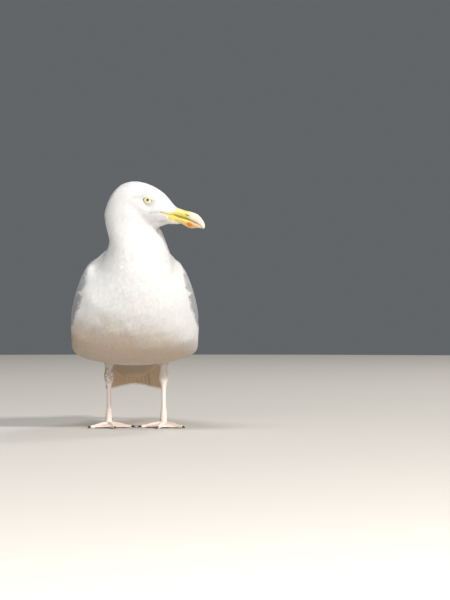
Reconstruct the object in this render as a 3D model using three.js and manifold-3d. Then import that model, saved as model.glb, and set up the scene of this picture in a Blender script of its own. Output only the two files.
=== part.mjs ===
// Adult herring gull, life size, standing on both feet with its head turned to its left.
// Millimetres, +Z up. The bird faces -Y, so its left is +X. The floor is z = 0.
import * as THREE from 'three';
import { mergeVertices } from 'three/addons/utils/BufferGeometryUtils.js';
import Module from 'manifold-3d';

const wasm = await Module();
wasm.setup();

// ---------------------------------------------------------------- driving dimensions

const GAP = 0.3; // the thin cut between neighbouring pieces
const AROUND = 24; // corners of a body slice
const HEAD_AROUND = 18;
const BILL_AROUND = 12;
const BODY_STEPS = 22; // slices along the body, the head and the bill
const HEAD_STEPS = 14;
const BILL_STEPS = 15;
const WING_AROUND = 12;
const WING_STEPS = 14;
const PRIMARY_AROUND = 10;
const PRIMARY_STEPS = 8;
const TAIL_ROWS = 5;
const TAIL_COLUMNS = 10;

const HEAD_YAW = 62; // degrees to the bird's left
const HEAD_PITCH = 14; // degrees down
const EYES_AT = new THREE.Vector3(23.6, -90, 302.5); // the point midway between the eyes
const EYE_RADIUS = 7.5;
const EYE_SIDE = 13.4; // from the head's middle to the centre of an eyeball

const NECK_CUT = 264; // height of the cut between head and neck
const SHOULDER_CUT = { behind: [-30, 250], before: [-140, 222] }; // [y, z] of two points on the trunk's cut

const LEG_SIDE = 36.5; // from the middle to a leg
const LEG_SHIFT = 2; // both legs stand this far to the left of the middle
const LEG_FORWARD = -12; // the metatarsal joints, forward of the origin of the body's stations
const FOOT_CUT = 19; // heights of the cuts below and above the bare shank
const THIGH_CUT = 82;

// The bare leg's line from inside the feathers, over the ankle, to the joint of the toes, as
// [back, height], and its radius at even steps along that line.
const LEG_LINE = [[11, 90], [16, 77], [19, 66], [14, 53], [8, 34], [2.5, 19], [-1.5, 8], [-3.5, 3.6]];
const LEG_RADII = [4.2, 4.4, 6.2, 3, 2.8, 2.9, 4.6, 4.4];
const LEG_DEPTH = 1.2; // how much deeper than wide it is

// The feathered thigh from inside the belly to just above the ankle, as [outward, back, height].
const THIGH_LINE = [[4, -22, 128], [2, -6, 106], [0, 10.5, 90], [0, 14, 80]];
const THIGH_RADII = [30, 18, 7.6, 5];

// Body slices from the tail root to the crown of the neck. top and bottom are [forward, up, left].
const BODY = [
  { top: [-236, 67, 0], bottom: [-232, 58, 0], half: 14, widest: 0.5 },
  { top: [-214, 84, 0], bottom: [-204, 62, 0], half: 26, widest: 0.5 },
  { top: [-174, 114, 0], bottom: [-156, 72, 0], half: 39, widest: 0.52 },
  { top: [-126, 144, 0], bottom: [-110, 80, 0], half: 53, widest: 0.6 },
  { top: [-80, 171, 0], bottom: [-58, 82, 0], half: 68, widest: 0.7 },
  { top: [-36, 197, 0], bottom: [-8, 83, 0], half: 79, widest: 0.76 },
  { top: [2, 219, 0], bottom: [42, 87, 0], half: 84, widest: 0.8 },
  { top: [28, 233, 0], bottom: [88, 105, 0], half: 84, widest: 0.78 },
  { top: [41, 242, 0], bottom: [116, 140, 0], half: 75, widest: 0.66 },
  { top: [48, 257, 3.5], bottom: [126, 184, 3.5], half: 45.5, widest: 0.56 },
  { top: [50, 271, 3], bottom: [121, 226, 4], half: 36, widest: 0.5 },
  { top: [51, 283, -5], bottom: [112, 250, -3], half: 33.5, widest: 0.5 },
  { top: [53, 296, -6], bottom: [108, 270, -5], half: 34.5, widest: 0.5 },
  { top: [58, 311, -7], bottom: [106, 290, -5], half: 28, widest: 0.5 },
  { top: [70, 320, -5], bottom: [98, 310, -4], half: 20, widest: 0.5 },
];

// Head slices from the bill back to the nape, in the head's own frame: the eyes are at its origin.
const HEAD = [
  { top: [36, -1.2, 0], bottom: [44, -20.8, 0], half: 6.8, widest: 0.55 },
  { top: [29, 1.8, 0], bottom: [35, -23, 0], half: 10.4, widest: 0.58 },
  { top: [21, 7.2, 0], bottom: [24.5, -27.8, 0], half: 14, widest: 0.56 },
  { top: [12, 12.4, 0], bottom: [14.5, -35, 0], half: 17.6, widest: 0.54 },
  { top: [0, 16.2, 0], bottom: [2, -42, 0], half: 21.5, widest: 0.52 },
  { top: [-14, 18.4, 0], bottom: [-12, -44, 0], half: 25.5, widest: 0.52 },
  { top: [-30, 17.4, 0], bottom: [-28.5, -44.5, 0], half: 28.5, widest: 0.52 },
  { top: [-44, 11.8, 0], bottom: [-44, -45, 0], half: 27.5, widest: 0.52 },
  { top: [-53, 0.5, 0], bottom: [-56.5, -44, 0], half: 21, widest: 0.56 },
  { top: [-57, -14, 0], bottom: [-60, -39, 0], half: 10, widest: 0.55 },
];

const UPPER_BILL = [
  { top: [16, -10.8, 0], bottom: [16, -12.6, 0], half: 13.8, widest: 0.5 },
  { top: [23, -8.2, 0], bottom: [23, -12.6, 0], half: 12.2, widest: 0.6 },
  { top: [30, -2.9, 0], bottom: [31, -12.4, 0], half: 9.4, widest: 0.72 },
  { top: [36, -1.4, 0], bottom: [36, -11.9, 0], half: 7.8, widest: 0.76 },
  { top: [45, -2.1, 0], bottom: [45, -11.6, 0], half: 6.2, widest: 0.78 },
  { top: [52, -2.2, 0], bottom: [52, -11.7, 0], half: 5.4, widest: 0.78 },
  { top: [59.5, -1.8, 0], bottom: [59, -12, 0], half: 4.9, widest: 0.76 },
  { top: [67, -2.4, 0], bottom: [66, -13, 0], half: 4.3, widest: 0.76 },
  { top: [73, -4.9, 0], bottom: [71.5, -14.2, 0], half: 3.7, widest: 0.72 },
  { top: [78.3, -8.6, 0], bottom: [76, -16.2, 0], half: 3, widest: 0.66 },
  { top: [81.8, -12.7, 0], bottom: [79, -18, 0], half: 2.2, widest: 0.6 },
  { top: [83.1, -16.4, 0], bottom: [81, -19.4, 0], half: 1.3, widest: 0.5 },
];

const LOWER_BILL = [
  { top: [16, -13, 0], bottom: [16, -15.2, 0], half: 13.6, widest: 0.5 },
  { top: [24, -13, 0], bottom: [25, -18.8, 0], half: 11.6, widest: 0.3 },
  { top: [33, -12.8, 0], bottom: [33, -21.2, 0], half: 8.2, widest: 0.3 },
  { top: [41, -12.2, 0], bottom: [41, -20.3, 0], half: 6.2, widest: 0.3 },
  { top: [48, -12, 0], bottom: [48, -20, 0], half: 5.2, widest: 0.3 },
  { top: [55, -12.2, 0], bottom: [55, -21.6, 0], half: 4.6, widest: 0.3 },
  { top: [61, -12.6, 0], bottom: [61, -22.7, 0], half: 4.2, widest: 0.32 },
  { top: [67, -13.6, 0], bottom: [66.5, -21.9, 0], half: 3.6, widest: 0.34 },
  { top: [73, -15, 0], bottom: [72, -19.9, 0], half: 2.7, widest: 0.36 },
  { top: [78.5, -17.7, 0], bottom: [78, -19, 0], half: 1.5, widest: 0.5 },
];

// Slices of the folded left wing, from the bend of the wing to the tips of the tertials.
const WING = [
  { top: [90, 204, 57], bottom: [90, 184, 63], half: 3 },
  { top: [76, 217, 57], bottom: [78, 164, 75], half: 7 },
  { top: [46, 226, 49], bottom: [50, 143, 81], half: 9.5 },
  { top: [4, 221, 36], bottom: [8, 132, 82.5], half: 9.5 },
  { top: [-42, 205, 25], bottom: [-38, 120, 77], half: 9 },
  { top: [-88, 183, 18], bottom: [-84, 108, 65], half: 8 },
  { top: [-132, 161, 13], bottom: [-130, 98, 51], half: 6.5 },
  { top: [-168, 141, 11], bottom: [-168, 94, 38], half: 5 },
  { top: [-196, 124, 11], bottom: [-198, 96, 27], half: 2.6 },
];
const WING_FRONT = 60; // ahead of this the breast covers the bend of the wing
const WING_BLUNTNESS = 0.8; // below 1 a slice is fuller than an ellipse
const PRIMARY_BLUNTNESS = 0.7;

// The flight feathers beyond the tertials. The left tip crosses over the right one, which is
// dropped by under at each slice.
const PRIMARIES = [
  { top: [-160, 132, 16], bottom: [-160, 96, 38], half: 3.4, under: 0 },
  { top: [-200, 118, 9], bottom: [-200, 92, 31], half: 3.2, under: 4 },
  { top: [-240, 101, -1], bottom: [-240, 86, 20], half: 2.5, under: 9 },
  { top: [-280, 84, -12], bottom: [-280, 76, 6], half: 1.8, under: 12 },
  { top: [-306, 71, -17], bottom: [-306, 67, -6], half: 1.1, under: 13 },
];

// The tail from its root to its end, as [forward, up]. Its middle stands arch higher than its sides at
// the end, and its middle feathers are the longest by rounding.
const TAIL = {
  root: [-150, 98],
  end: [-266, 47],
  rootHalf: 34,
  endHalf: 41,
  rootThick: 9,
  endThick: 2.2,
  arch: 5.5,
  rounding: 6,
};


// Toes of the left foot: the angle outwards from straight ahead, the length and the radius at its tip.
const TOES = {
  inner: { angle: -52, length: 38, tip: 2.1 },
  middle: { angle: -9, length: 51, tip: 2.3 },
  outer: { angle: 31, length: 47, tip: 2.1 },
};
const HIND_TOE = { angle: 205, length: 7.5, height: 11 };
const TOE_START = 3; // from the middle of the joint to the root of a toe
const TOE_ROOT = 4.2; // radius of a toe at the joint
const TOE_FLATNESS = 0.84; // how high a toe's middle lies over the floor, of its radius
const TOE_ARCH = 1.1; // how much higher it lies halfway along
const WEB_THICKNESS = 1.5;
const WEB_BOW = 0.2; // how far its front edge is curved back, of the toes' length
const CLAW_LENGTH = 6.5;
const SIDE_CLAW_LENGTH = 5.5;
const CLAW_RADII = [1.5, 1.1, 0.3];

const COLOURS = {
  white: new THREE.MeshStandardMaterial({ color: 0xf1efe9, roughness: 0.9 }),
  grey: new THREE.MeshStandardMaterial({ color: 0x9aa0a8, roughness: 0.85 }),
  black: new THREE.MeshStandardMaterial({ color: 0x1b1b1d, roughness: 0.7 }),
  yellow: new THREE.MeshStandardMaterial({ color: 0xe2be45, roughness: 0.4 }),
  pink: new THREE.MeshStandardMaterial({ color: 0xe2bfae, roughness: 0.6 }),
  claw: new THREE.MeshStandardMaterial({ color: 0x2c2622, roughness: 0.4 }),
  eye: new THREE.MeshStandardMaterial({ color: 0xe8dc8c, roughness: 0.1 }),
};

// ---------------------------------------------------------------- geometry helpers

const radians = THREE.MathUtils.degToRad;
const UPWARD = new THREE.Vector3(0, 0, 1);
const FORWARD = new THREE.Vector3(0, -1, 0);

// A point given as [forward, up, left] in a frame that faces -Y.
const place = ([forward, up, left]) => new THREE.Vector3(left, -forward, up);

// A closed surface through rings of points, with a fan over each end.
function loft(rings) {
  const around = rings[0].length;
  const points = rings.flat();
  const triangles = [];
  for (let r = 0; r + 1 < rings.length; r++) {
    for (let i = 0; i < around; i++) {
      const a = r * around + i;
      const b = r * around + ((i + 1) % around);
      triangles.push(a, b, a + around, b, b + around, a + around);
    }
  }
  for (const [first, flip] of [[0, true], [(rings.length - 1) * around, false]]) {
    const centre = new THREE.Vector3();
    for (let i = 0; i < around; i++) centre.add(points[first + i]);
    points.push(centre.divideScalar(around));
    for (let i = 0; i < around; i++) {
      const a = first + i;
      const b = first + ((i + 1) % around);
      triangles.push(...(flip ? [b, a] : [a, b]), points.length - 1);
    }
  }
  return closed(points, triangles);
}

// A closed plate between two grids of points, each an array of rows.
function plate(upper, lower) {
  const rows = upper.length;
  const columns = upper[0].length;
  const points = [...upper.flat(), ...lower.flat()];
  const under = rows * columns;
  const triangles = [];
  for (let r = 0; r + 1 < rows; r++) {
    for (let c = 0; c + 1 < columns; c++) {
      const a = r * columns + c;
      const d = a + columns;
      triangles.push(a, a + 1, d, a + 1, d + 1, d);
      triangles.push(under + a, under + d, under + a + 1, under + a + 1, under + d, under + d + 1);
    }
  }
  const rim = [];
  for (let c = 0; c < columns; c++) rim.push(c);
  for (let r = 1; r < rows; r++) rim.push(r * columns + columns - 1);
  for (let c = columns - 2; c >= 0; c--) rim.push((rows - 1) * columns + c);
  for (let r = rows - 2; r > 0; r--) rim.push(r * columns);
  rim.forEach((a, i) => {
    const b = rim[(i + 1) % rim.length];
    triangles.push(a, under + a, b, b, under + a, under + b);
  });
  return closed(points, triangles);
}

// Indexed geometry whose faces point out, whichever way round its triangles came.
function closed(points, triangles) {
  let volume = 0;
  for (let i = 0; i < triangles.length; i += 3) {
    const [a, b, c] = [0, 1, 2].map((k) => points[triangles[i + k]]);
    volume += a.dot(new THREE.Vector3().crossVectors(b, c));
  }
  if (volume < 0) triangles.reverse();
  const geometry = new THREE.BufferGeometry().setFromPoints(points);
  geometry.setIndex(triangles);
  return geometry;
}

// One slice of a body: an egg-shaped ring between its top and bottom points.
function slice({ top, bottom, half, widest = 0.5, bluntness = 1 }, around, grow) {
  const upper = place(top);
  const lower = place(bottom);
  const down = lower.clone().sub(upper).normalize();
  upper.addScaledVector(down, -grow);
  lower.addScaledVector(down, grow);
  const side = new THREE.Vector3().crossVectors(down, FORWARD).normalize();
  const ring = [];
  for (let i = 0; i < around; i++) {
    const turn = (2 * Math.PI * i) / around;
    const c = Math.cos(turn);
    const s = Math.sin(turn);
    const share = c > 0 ? widest * (1 - c) : widest - (1 - widest) * c;
    const out = (half + grow) * Math.sign(s) * Math.abs(s) ** bluntness;
    ring.push(upper.clone().lerp(lower, share).addScaledVector(side, out));
  }
  return ring;
}

// Slices at even steps through a list of stations, on smooth curves through their values.
function through(stations, steps) {
  const curve = (pick) => new THREE.CatmullRomCurve3(stations.map((s) => new THREE.Vector3(...pick(s))));
  const top = curve((s) => s.top);
  const bottom = curve((s) => s.bottom);
  const shape = curve((s) => [s.half, s.widest ?? 0.5, s.bluntness ?? 1]);
  return Array.from({ length: steps + 1 }, (_, i) => {
    const t = i / steps;
    const [half, widest, bluntness] = shape.getPoint(t).toArray();
    const ends = { top: top.getPoint(t).toArray(), bottom: bottom.getPoint(t).toArray() };
    return { ...ends, half, widest, bluntness };
  });
}

const shell = (stations, steps, around, grow = 0) =>
  loft(through(stations, steps).map((s) => slice(s, around, grow)));

// A tapering limb along a curve: radii are given at even steps of it. Where the curve lies in the
// bird's middle plane, depth is how much deeper than wide the limb is.
function limb(points, radii, around = 10, steps = 10, depth = 1) {
  const curve = new THREE.CatmullRomCurve3(points);
  const sizes = new THREE.CatmullRomCurve3(radii.map((r) => new THREE.Vector3(r, 0, 0)));
  const frames = curve.computeFrenetFrames(steps);
  const rings = [];
  for (let k = 0; k <= steps; k++) {
    const centre = curve.getPointAt(k / steps);
    const radius = sizes.getPoint(k / steps).x;
    rings.push(Array.from({ length: around }, (_, i) => {
      const turn = (2 * Math.PI * i) / around;
      return centre.clone()
        .addScaledVector(frames.normals[k], radius * Math.cos(turn))
        .addScaledVector(frames.binormals[k], radius * depth * Math.sin(turn));
    }));
  }
  return loft(rings);
}

// Three.js geometry to a manifold-3d solid, placed by a matrix.
function solid(geometry, matrix = new THREE.Matrix4()) {
  const bare = geometry.index ? geometry.toNonIndexed() : geometry.clone();
  bare.deleteAttribute('normal');
  bare.deleteAttribute('uv');
  const merged = mergeVertices(bare.applyMatrix4(matrix), 1e-4);
  const triangles = new Uint32Array(merged.index.array);
  if (matrix.determinant() < 0) triangles.reverse(); // a mirror turns the faces inside out
  return new wasm.Manifold(new wasm.Mesh({
    numProp: 3,
    vertProperties: merged.attributes.position.array,
    triVerts: triangles,
  }));
}

function geometryOf(made) {
  const { numProp, numVert, vertProperties, triVerts } = made.getMesh();
  const positions = new Float32Array(numVert * 3);
  for (let i = 0; i < numVert; i++) {
    const first = i * numProp;
    positions.set(vertProperties.subarray(first, first + 3), i * 3);
  }
  return new THREE.BufferGeometry()
    .setAttribute('position', new THREE.BufferAttribute(positions, 3))
    .setIndex(new THREE.BufferAttribute(triVerts, 1));
}

function piece(name, made, material) {
  const mesh = new THREE.Mesh(geometryOf(made), material);
  mesh.name = name;
  return mesh;
}

// The largest of a solid's separate bodies, to drop crumbs that a cut leaves.
const largest = (made) => made.decompose().reduce((a, b) => (b.volume() > a.volume() ? b : a));

// Everything on one side of a plane: the side that its normal points to.
function halfSpace(point, normal) {
  const size = 2000;
  const box = new THREE.BoxGeometry(size, size, size).translate(0, 0, size / 2);
  const turn = new THREE.Quaternion().setFromUnitVectors(UPWARD, normal.clone().normalize());
  return solid(box, new THREE.Matrix4().compose(point, turn, new THREE.Vector3(1, 1, 1)));
}

// The parts of a solid above and below a plane, with a thin gap between them.
function parted(made, point, normal) {
  const out = normal.clone().normalize();
  const above = halfSpace(point.clone().addScaledVector(out, GAP / 2), out);
  const below = halfSpace(point.clone().addScaledVector(out, -GAP / 2), out.clone().negate());
  return [made.intersect(above), made.intersect(below)];
}

const MIRROR = new THREE.Matrix4().makeScale(-1, 1, 1);

// ---------------------------------------------------------------- head, with its bill and eyes

const headFrame = new THREE.Group();
headFrame.position.copy(EYES_AT);
headFrame.rotation.set(radians(HEAD_PITCH), 0, radians(HEAD_YAW), 'ZYX');
headFrame.updateMatrix();

const eyeball = (grow) => new THREE.SphereGeometry(EYE_RADIUS + grow, 14, 9);
const eyeAt = (side) => new THREE.Matrix4().makeTranslation(side * EYE_SIDE, 0, 0);

const upperBill = (grow) => solid(shell(UPPER_BILL, BILL_STEPS, BILL_AROUND, grow));
const lowerBill = (grow) => solid(shell(LOWER_BILL, BILL_STEPS, BILL_AROUND, grow));

function bill() {
  const lower = largest(lowerBill(0).subtract(upperBill(GAP)));
  return [piece('bill_upper', upperBill(0), COLOURS.yellow), piece('bill_lower', lower, COLOURS.yellow)];
}

// Room in the head for the bill and the eyes.
function headRoom() {
  let room = upperBill(GAP).add(lowerBill(GAP));
  for (const side of [-1, 1]) room = room.add(solid(eyeball(GAP), eyeAt(side)));
  return room;
}

function eyes() {
  return [['eye_left', 1], ['eye_right', -1]].map(([name, side]) => {
    const mesh = piece(name, solid(eyeball(0)), COLOURS.eye);
    mesh.position.x = side * EYE_SIDE;
    return mesh;
  });
}

// ---------------------------------------------------------------- wings and tail

const wingStations = WING.map((station) => ({ ...station, bluntness: WING_BLUNTNESS }));
const wingSolid = (grow) => solid(shell(wingStations, WING_STEPS, WING_AROUND, grow));
const wingFront = (grow) => new THREE.Vector3(0, -WING_FRONT - grow, 0);
const leftOrRight = (made, side) => (side > 0 ? made : solid(geometryOf(made), MIRROR));

function primaries(side) {
  const stations = PRIMARIES.map((s) => {
    const drop = side > 0 ? 0 : s.under;
    const down = ([forward, up, left]) => [forward, up - drop, left];
    return { top: down(s.top), bottom: down(s.bottom), half: s.half, bluntness: PRIMARY_BLUNTNESS };
  });
  return leftOrRight(solid(shell(stations, PRIMARY_STEPS, PRIMARY_AROUND)), side);
}

// The tail is a roof-shaped fan: its middle stands higher than its sides.
function tailSolid(grow) {
  const grid = (sign) => Array.from({ length: TAIL_ROWS + 1 }, (_, r) => {
    const t = r / TAIL_ROWS;
    const mix = (a, b) => a + (b - a) * t;
    const half = mix(TAIL.rootHalf, TAIL.endHalf) + grow;
    const thick = mix(TAIL.rootThick, TAIL.endThick) / 2 + grow;
    return Array.from({ length: TAIL_COLUMNS + 1 }, (_, c) => {
      const across = (2 * c) / TAIL_COLUMNS - 1;
      const edge = Math.sqrt(1 - 0.85 * across ** 6); // thin at the sides, but not to nothing
      const forward = mix(TAIL.root[0], TAIL.end[0] + TAIL.rounding * across ** 4);
      const up = mix(TAIL.root[1], TAIL.end[1]) - mix(1, TAIL.arch) * across ** 2 + sign * thick * edge;
      return place([forward, up, across * half]);
    });
  });
  return solid(plate(grid(1), grid(-1)));
}

// ---------------------------------------------------------------- legs and feet

// A point on a toe, from the joint (0) to the tip (1), and the toe's radius there.
function toePoint({ angle, length, tip }, t) {
  const heading = radians(angle);
  const reach = TOE_START + (length - TOE_START) * t;
  const arch = TOE_ARCH * Math.sin(Math.PI * Math.min(1, t / 0.75));
  const up = toeRadius({ tip }, t) * TOE_FLATNESS + arch;
  return new THREE.Vector3(Math.sin(heading) * reach, -Math.cos(heading) * reach, up);
}

function toeRadius({ tip }, t) {
  return TOE_ROOT + (tip - TOE_ROOT) * t ** 0.7;
}

function toe(spec) {
  const steps = [0, 0.25, 0.5, 0.75, 1];
  return solid(limb(steps.map((t) => toePoint(spec, t)), steps.map((t) => toeRadius(spec, t)), 8, 6));
}

// The web between two toes, with its front edge curved back between their tips.
function web(a, b) {
  const rows = 4;
  const columns = 5;
  const grid = (lift) => Array.from({ length: rows + 1 }, (_, r) =>
    Array.from({ length: columns + 1 }, (_, c) => {
      const k = c / columns;
      const bow = 4 * k * (1 - k);
      const t = (r / rows) * (0.93 - WEB_BOW * bow);
      const point = toePoint(a, t).lerp(toePoint(b, t), k);
      point.z += lift - 0.5 * bow * t;
      return point;
    }));
  return solid(plate(grid(WEB_THICKNESS / 2), grid(-WEB_THICKNESS / 2)));
}

// A hooked claw beyond the end of a toe.
function claw(spec, length) {
  const tip = toePoint(spec, 1);
  const heading = toePoint(spec, 1).sub(toePoint(spec, 0.9)).setZ(0).normalize();
  const at = (reach, up) => tip.clone().addScaledVector(heading, reach).setZ(up);
  const start = spec.tip * 0.5 + GAP;
  const points = [at(start, tip.z + 0.4), at(start + length * 0.5, tip.z + 0.1), at(start + length, 0.7)];
  return solid(limb(points, CLAW_RADII, 6, 4));
}

function hindToe() {
  const heading = radians(HIND_TOE.angle);
  const at = (reach, up) => new THREE.Vector3(Math.sin(heading) * reach, -Math.cos(heading) * reach, up);
  const { length, height } = HIND_TOE;
  const fleshLine = [at(0, height + 2), at(length * 0.6, height + 1), at(length, height)];
  const clawLine = [at(length + 1, height), at(length + 3.6, height - 2.4)];
  return {
    flesh: solid(limb(fleshLine, [2.6, 2.2, 1.4], 8, 3)),
    claw: solid(limb(clawLine, [1, 0.35], 6, 2)),
  };
}

function tarsus() {
  const line = LEG_LINE.map(([back, height]) => new THREE.Vector3(0, back, height));
  return solid(limb(line, LEG_RADII, 10, 18, LEG_DEPTH));
}

function thigh() {
  const line = THIGH_LINE.map((point) => new THREE.Vector3(...point));
  return solid(limb(line, THIGH_RADII, 12, 9));
}

// One whole leg, standing at the origin, parted into its named pieces.
function leg(side, body) {
  const floor = halfSpace(new THREE.Vector3(), UPWARD);
  const hind = hindToe();
  const { inner, middle, outer } = TOES;
  let flesh = tarsus().add(hind.flesh);
  for (const spec of [inner, middle, outer]) flesh = flesh.add(toe(spec));
  flesh = flesh.add(web(inner, middle)).add(web(middle, outer)).intersect(floor);
  const [shank, foot] = parted(flesh, new THREE.Vector3(0, 0, FOOT_CUT), UPWARD);
  const thighCut = new THREE.Vector3(0, 0, THIGH_CUT);
  const [, bareShank] = parted(shank, thighCut, UPWARD);
  const [feathered] = parted(thigh(), thighCut, UPWARD);
  const stand = new THREE.Matrix4().makeTranslation(side * LEG_SIDE + LEG_SHIFT, -LEG_FORWARD, 0);
  if (side < 0) stand.multiply(MIRROR);
  const placed = (made) => solid(geometryOf(made), stand);
  const hand = side > 0 ? 'left' : 'right';
  const pieces = [
    piece(`foot_${hand}`, placed(largest(foot)), COLOURS.pink),
    piece(`shank_${hand}`, placed(largest(bareShank)), COLOURS.pink),
    piece(`thigh_${hand}`, largest(placed(feathered).subtract(body)), COLOURS.white),
  ];
  const claws = {
    inner: claw(inner, SIDE_CLAW_LENGTH),
    middle: claw(middle, CLAW_LENGTH),
    outer: claw(outer, SIDE_CLAW_LENGTH),
    hind: hind.claw,
  };
  const cutter = placed(foot);
  for (const [name, made] of Object.entries(claws)) {
    const clear = placed(made.intersect(floor)).subtract(cutter);
    pieces.push(piece(`claw_${name}_${hand}`, largest(clear), COLOURS.claw));
  }
  return pieces;
}

// ---------------------------------------------------------------- the whole bird

const bird = new THREE.Group();

const placedOnHead = (made) => solid(geometryOf(made), headFrame.matrix);
const headWhole = placedOnHead(solid(shell(HEAD, HEAD_STEPS, HEAD_AROUND)));
const bodyWhole = solid(shell(BODY, BODY_STEPS, AROUND));
const bodyGrown = solid(shell(BODY, BODY_STEPS, AROUND, GAP));

const shoulder = wingSolid(0).intersect(halfSpace(wingFront(-5), FORWARD));
let flesh = bodyWhole.add(headWhole).add(shoulder).add(leftOrRight(shoulder, -1));
flesh = flesh.subtract(placedOnHead(headRoom()));
const behindFront = (made, grow) => made.intersect(halfSpace(wingFront(grow), FORWARD.clone().negate()));
const wingCutter = behindFront(wingSolid(GAP), GAP);
flesh = flesh.subtract(wingCutter).subtract(leftOrRight(wingCutter, -1));

const [head, belowHead] = parted(flesh, new THREE.Vector3(0, 0, NECK_CUT), UPWARD);
const [backY, backZ] = SHOULDER_CUT.behind;
const [frontY, frontZ] = SHOULDER_CUT.before;
const shoulderNormal = new THREE.Vector3(0, frontZ - backZ, backY - frontY);
const [neck, trunk] = parted(belowHead, new THREE.Vector3(0, backY, backZ), shoulderNormal);

bird.add(piece('head', largest(head), COLOURS.white));
bird.add(piece('neck', largest(neck), COLOURS.white));
bird.add(piece('trunk', largest(trunk), COLOURS.white));

headFrame.add(...bill(), ...eyes());
bird.add(headFrame);

const leftWing = behindFront(wingSolid(0), 0);
bird.add(piece('wing_left', leftWing, COLOURS.grey));
bird.add(piece('wing_right', leftOrRight(leftWing, -1), COLOURS.grey));

const tipCutter = wingCutter.add(leftOrRight(wingCutter, -1)).add(bodyGrown);
bird.add(piece('primaries_left', largest(primaries(1).subtract(tipCutter)), COLOURS.black));
bird.add(piece('primaries_right', largest(primaries(-1).subtract(tipCutter)), COLOURS.black));
bird.add(piece('tail', largest(tailSolid(0).subtract(bodyGrown).subtract(wingCutter)), COLOURS.white));

for (const side of [-1, 1]) bird.add(...leg(side, bodyGrown));

// The origin is on the floor, under the middle of the box round the bird.
bird.updateMatrixWorld(true);
const box = new THREE.Box3().setFromObject(bird, true);
bird.position.set(-(box.min.x + box.max.x) / 2, -(box.min.y + box.max.y) / 2, -box.min.z);

export default bird;
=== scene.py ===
"""The looks of a life-size herring gull: skin, plumage, flight feathers, bill, eyes, legs and feet.

Shapes are worked out in millimetres in the bird's own frame, which has its origin on the floor
between the legs' line and the breast, +Z up, the bird facing -Y and its left at +X. The head has
axes of its own. Forward is along the bird's or the head's way of facing.
"""

import math

import bmesh
import bpy
import numpy as np
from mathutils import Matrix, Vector
from mathutils.bvhtree import BVHTree


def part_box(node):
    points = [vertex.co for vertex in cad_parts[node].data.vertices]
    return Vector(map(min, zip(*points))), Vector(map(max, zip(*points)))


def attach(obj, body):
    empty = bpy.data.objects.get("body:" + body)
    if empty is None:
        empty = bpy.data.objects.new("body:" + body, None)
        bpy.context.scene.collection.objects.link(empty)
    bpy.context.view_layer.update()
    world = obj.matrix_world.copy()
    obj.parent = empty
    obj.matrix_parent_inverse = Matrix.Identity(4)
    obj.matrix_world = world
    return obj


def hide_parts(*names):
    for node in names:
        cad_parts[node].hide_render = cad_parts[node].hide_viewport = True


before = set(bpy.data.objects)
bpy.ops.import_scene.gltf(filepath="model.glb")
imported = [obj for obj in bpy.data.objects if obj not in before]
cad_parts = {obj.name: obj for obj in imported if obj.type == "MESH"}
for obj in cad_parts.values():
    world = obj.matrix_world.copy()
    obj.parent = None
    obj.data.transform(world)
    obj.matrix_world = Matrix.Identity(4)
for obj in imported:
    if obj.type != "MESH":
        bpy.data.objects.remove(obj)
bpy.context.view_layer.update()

rng = np.random.default_rng(7)

# ---------------------------------------------------------------- numbers


def unit(vectors):
    return vectors / np.maximum(np.linalg.norm(vectors, axis=-1, keepdims=True), 1e-9)


def ramp(value, low, high):
    """0 below low, 1 above high, smooth between. low may be the larger."""
    t = np.clip((value - low) / (high - low), 0, 1)
    return t * t * (3 - 2 * t)


def hump(value, middle, breadth):
    """1 at the middle, fading softly on both sides."""
    return np.exp(-((value - middle) / breadth) ** 2)


def mix(a, b, share):
    return a + (b - a) * share


def painted(colour, over, share):
    """A colour for each point, with another laid over it by each point's share."""
    return mix(colour, over, np.asarray(share)[:, None])


def along_line(value, *knots):
    """A value read off straight stretches between (value, result) knots."""
    x, y = zip(*sorted(knots))
    return np.interp(value, x, y)


# ---------------------------------------------------------------- places, from the frame


def centre(name):
    low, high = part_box(name)
    return np.array((low + high) / 2)


MM = 0.001
SIDES = ((1, "left"), (-1, "right"))
EYES_IN_BODY = np.array([23.6, -90.0, 302.5])  # the point midway between the eyes
ORIGIN = (centre("eye_left") + centre("eye_right")) / 2 - EYES_IN_BODY * MM
HEAD_YAW = math.radians(62)  # to the bird's left
HEAD_PITCH = math.radians(14)  # down

# The head's own axes: forward, to the bird's left, and up.
FORWARD = np.array([
    math.sin(HEAD_YAW) * math.cos(HEAD_PITCH),
    -math.cos(HEAD_YAW) * math.cos(HEAD_PITCH),
    -math.sin(HEAD_PITCH),
])
LEFT = np.array([math.cos(HEAD_YAW), math.sin(HEAD_YAW), 0.0])
UP = np.cross(FORWARD, LEFT)

EYE_RADIUS = 7.5
EYE_SIDE = 13.4
EYE_OPENING = (4.9, 4.3)  # half the opening's length and height
OPENING_AT = (math.radians(21), math.radians(-9))  # the opening's middle, forward and up from straight out
GAZE_AT = (math.radians(25), math.radians(3.5))

LEG_SIDE = 36.5
LEG_SHIFT = 2  # both legs stand this far to the left
LEG_BACK = 24  # where the legs leave the belly, behind the bird's origin
TOES_AHEAD = 10  # where the toes part, before the bird's origin
FEATHERED_DOWN_TO = 68  # on the legs
CHIN_END = 49.5  # how far forward the chin's feathers run under the bill


def head_point(forward, up, left):
    """A point given in the head's axes, in the bird's frame."""
    return EYES_IN_BODY + FORWARD * forward + UP * up + LEFT * left


def in_head(points):
    """Points as (forward, up, left) columns in the head's axes."""
    out = points - EYES_IN_BODY
    return out @ FORWARD, out @ UP, out @ LEFT


def from_leg(points):
    """How far points lie from the nearer leg's axis at the belly, seen from above."""
    return np.hypot(np.abs(points[:, 0] - LEG_SHIFT) - LEG_SIDE, points[:, 1] - LEG_BACK)


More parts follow.
